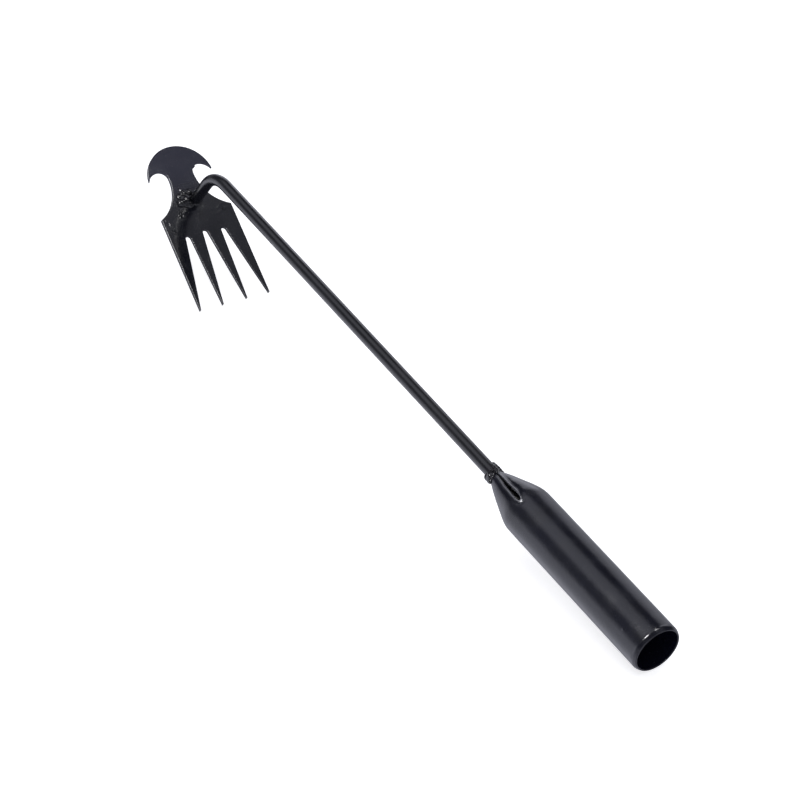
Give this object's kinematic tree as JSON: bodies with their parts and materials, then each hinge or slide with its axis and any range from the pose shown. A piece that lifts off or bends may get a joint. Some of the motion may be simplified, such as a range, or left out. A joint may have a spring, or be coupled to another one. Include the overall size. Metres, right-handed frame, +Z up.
{
  "type": "hand cultivator head",
  "caption": "Hand cultivator: flat steel head with pointed tines and a crescent blade, welded to a bent round bar with a tubular socket for a pole.",
  "frame": {"origin": "centre of the bounding box at the level the tool rests on, under the bar", "axes": "+X from the tines towards the socket mouth, +Z up, +Y across the plate; the tool lies on its tine tips and the socket's lower rim"},
  "size_m": [0.5624, 0.055, 0.0849],
  "materials": {
    "plate_enamel": "gloss black enamel on flat steel",
    "bar_enamel": "gloss black enamel on round bar",
    "tube_enamel": "gloss black enamel on tube",
    "weld_enamel": "gloss black enamel over rippled weld"
  },
  "bodies": {
    "root": {"head_plate": "plate_enamel", "shank": "bar_enamel", "socket_tube": "tube_enamel", "head_weld_bead": "weld_enamel", "head_weld_fillet": "weld_enamel", "neck_weld_upper": "weld_enamel", "neck_weld_lower": "weld_enamel", "weld_spatter": "weld_enamel"}
  },
  "joints": []
}
